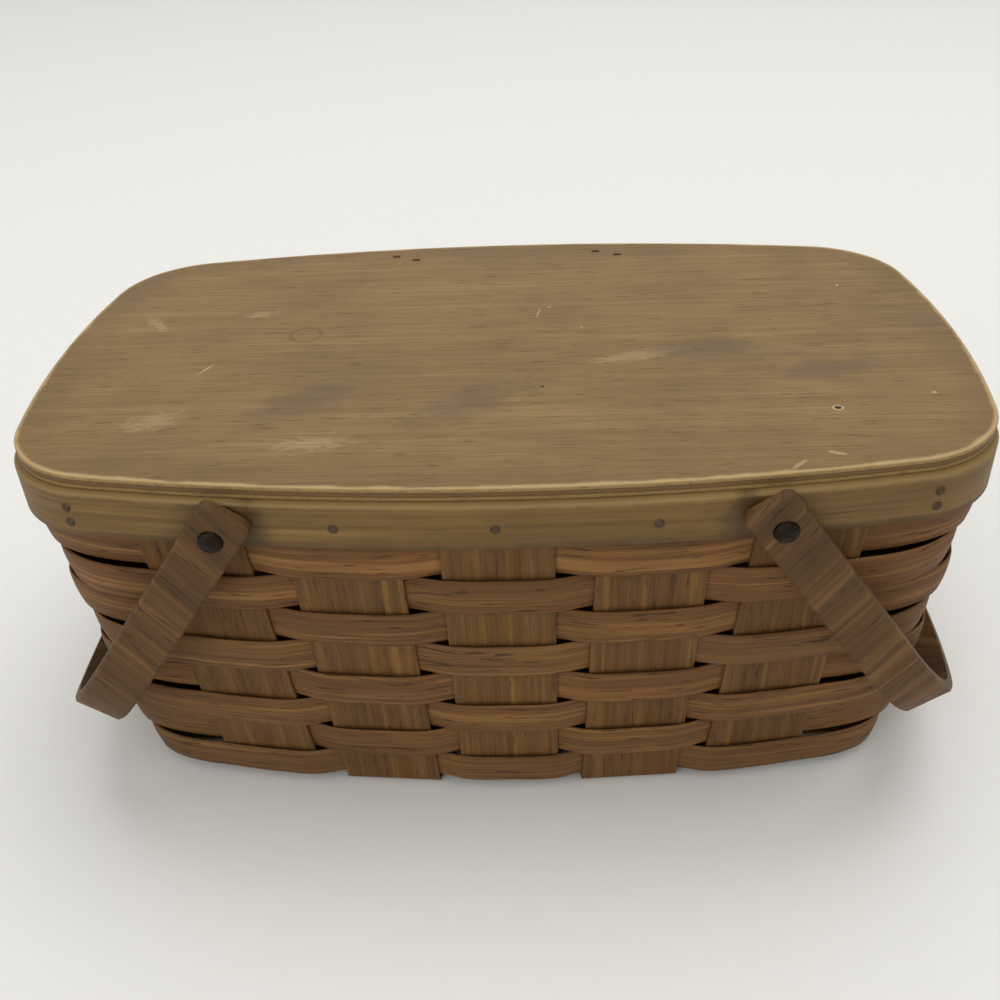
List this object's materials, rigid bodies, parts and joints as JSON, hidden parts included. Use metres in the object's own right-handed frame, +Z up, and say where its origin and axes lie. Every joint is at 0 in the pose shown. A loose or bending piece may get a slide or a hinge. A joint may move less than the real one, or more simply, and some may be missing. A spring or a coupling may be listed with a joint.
{
  "type": "picnic basket",
  "caption": "Woven wood-splint picnic basket with a bentwood rim, a hinged plywood lid that bows at its edges, and a swing handle at each end.",
  "frame": {"origin": "on the floor under the middle of the basket", "axes": "+X along the basket's length, towards the right-hand handle; -Y its front, away from the lid's hinges; +Z up"},
  "size_m": [0.4956, 0.3028, 0.2126],
  "materials": {
    "lid_plywood": "worn waxed plywood",
    "rim_wood": "worn satin",
    "splint_wood": "rough stained splint",
    "weaver_wood": "rough stained splint",
    "handle_wood": "worn satin",
    "spacer_wood": "dull",
    "nail_steel": "dull, lightly rusted",
    "hinge_steel": "dull, tarnished",
    "rivet_steel": "dark tarnished"
  },
  "bodies": {
    "basket": {"rim_outer_hoop": "rim_wood", "rim_inner_hoop": "rim_wood", "cross_splint_1": "splint_wood", "cross_splint_2": "splint_wood", "cross_splint_3": "splint_wood", "cross_splint_4": "splint_wood", "cross_splint_5": "splint_wood", "long_splint_1": "splint_wood", "long_splint_2": "splint_wood", "long_splint_3": "splint_wood", "weaver_1": "weaver_wood", "weaver_2": "weaver_wood", "weaver_3": "weaver_wood", "weaver_4": "weaver_wood", "weaver_5": "weaver_wood", "weaver_6": "weaver_wood", "weaver_7": "weaver_wood", "weaver_8": "weaver_wood", "rim_nails": "nail_steel", "pivot_rivets": "rivet_steel", "pivot_spacers": "spacer_wood", "pivot_burrs": "rivet_steel", "hinge_rim_leaves": "hinge_steel", "hinge_pins": "hinge_steel"},
    "lid": {"lid": "lid_plywood", "hinge_lid_leaves": "hinge_steel", "lid_nails": "nail_steel"},
    "handle_left": {"handle_left": "handle_wood"},
    "handle_right": {"handle_right": "handle_wood"}
  },
  "joints": [
    {"name": "lid_hinge", "type": "hinge", "parent": "basket", "child": "lid", "pos_m": [0, 0.146, 0.2046], "axis": [-1, 0, 0], "range_deg": [0, 180]},
    {"name": "handle_right_pivot", "type": "hinge", "parent": "basket", "child": "handle_right", "pos_m": [0.1255, 0, 0.191], "axis": [0, -1, 0], "range_deg": [0, 180]},
    {"name": "handle_left_pivot", "type": "hinge", "parent": "basket", "child": "handle_left", "pos_m": [-0.1255, 0, 0.191], "axis": [0, 1, 0], "range_deg": [0, 180]}
  ]
}
